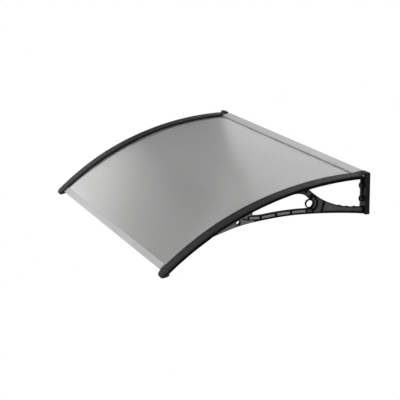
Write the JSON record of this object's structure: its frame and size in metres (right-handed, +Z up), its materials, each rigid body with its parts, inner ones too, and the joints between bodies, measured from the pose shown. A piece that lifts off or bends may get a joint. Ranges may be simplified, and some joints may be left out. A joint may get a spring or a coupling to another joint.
{
  "type": "door canopy",
  "caption": "Curved door canopy: a smoked fluted sheet between moulded wall brackets, with cover strips along its sides and metal bars on its front and rear edges.",
  "frame": {"origin": "middle of the rear bar's back face, in the plane of the wall", "axes": "+X along the wall to the viewer's right when facing the wall, +Y into the wall, +Z up"},
  "size_m": [1.2, 0.6025, 0.2532],
  "materials": {
    "black_plastic": "fine moulded grain",
    "smoked_sheet": "smoked translucent twin-wall sheet",
    "bar_aluminium": "satin extruded",
    "seal_rubber": "matt",
    "screw_steel": "bright zinc"
  },
  "bodies": {
    "root": {"bracket_right": "black_plastic", "bracket_left": "black_plastic", "cover_strip_right": "black_plastic", "cover_strip_left": "black_plastic", "roof_sheet": "smoked_sheet", "front_bar": "bar_aluminium", "rear_bar": "bar_aluminium", "sheet_seal": "seal_rubber", "front_bar_screw_right": "screw_steel", "front_bar_screw_left": "screw_steel", "rear_bar_screw_right": "screw_steel", "rear_bar_screw_left": "screw_steel", "clamp_screw_right_1": "screw_steel", "clamp_screw_left_1": "screw_steel", "clamp_screw_right_2": "screw_steel", "clamp_screw_left_2": "screw_steel", "clamp_screw_right_3": "screw_steel", "clamp_screw_left_3": "screw_steel", "clamp_screw_right_4": "screw_steel", "clamp_screw_left_4": "screw_steel", "clamp_screw_right_5": "screw_steel", "clamp_screw_left_5": "screw_steel"}
  },
  "joints": []
}
